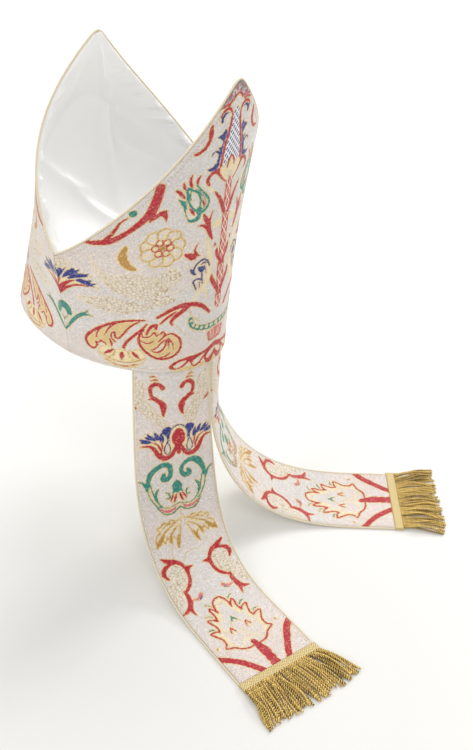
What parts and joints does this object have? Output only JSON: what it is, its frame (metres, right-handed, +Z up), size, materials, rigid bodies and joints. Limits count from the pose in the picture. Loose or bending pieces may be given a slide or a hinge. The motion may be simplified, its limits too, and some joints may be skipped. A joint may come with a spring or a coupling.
{
  "type": "bishop mitre with lappets",
  "caption": "Stiff two-horned brocade hat with a satin gusset between its horns and two fringed lappets hanging from the back of its rim.",
  "frame": {"origin": "middle of the head opening in the plane of the rim, where a head carries the hat", "axes": "+Z up from the rim to the peaks, -Y to the wearer's front, +X to the wearer's left"},
  "size_m": [0.3927, 0.4472, 0.4779],
  "materials": {
    "brocade": "cream brocade woven with red, teal, blue and gold ornament",
    "satin": "white satin with a soft sheen",
    "piping": "cream and pale gold piping",
    "bullion": "gold bullion cords under a woven gold header"
  },
  "bodies": {
    "root": {"front_panel": "brocade", "back_panel": "brocade", "horn_gusset": "satin", "front_edge_piping": "piping", "back_edge_piping": "piping", "left_lappet": "brocade", "right_lappet": "brocade", "left_lappet_piping_outer": "piping", "left_lappet_piping_inner": "piping", "right_lappet_piping_outer": "piping", "right_lappet_piping_inner": "piping", "left_fringe": "bullion", "right_fringe": "bullion"}
  },
  "joints": []
}
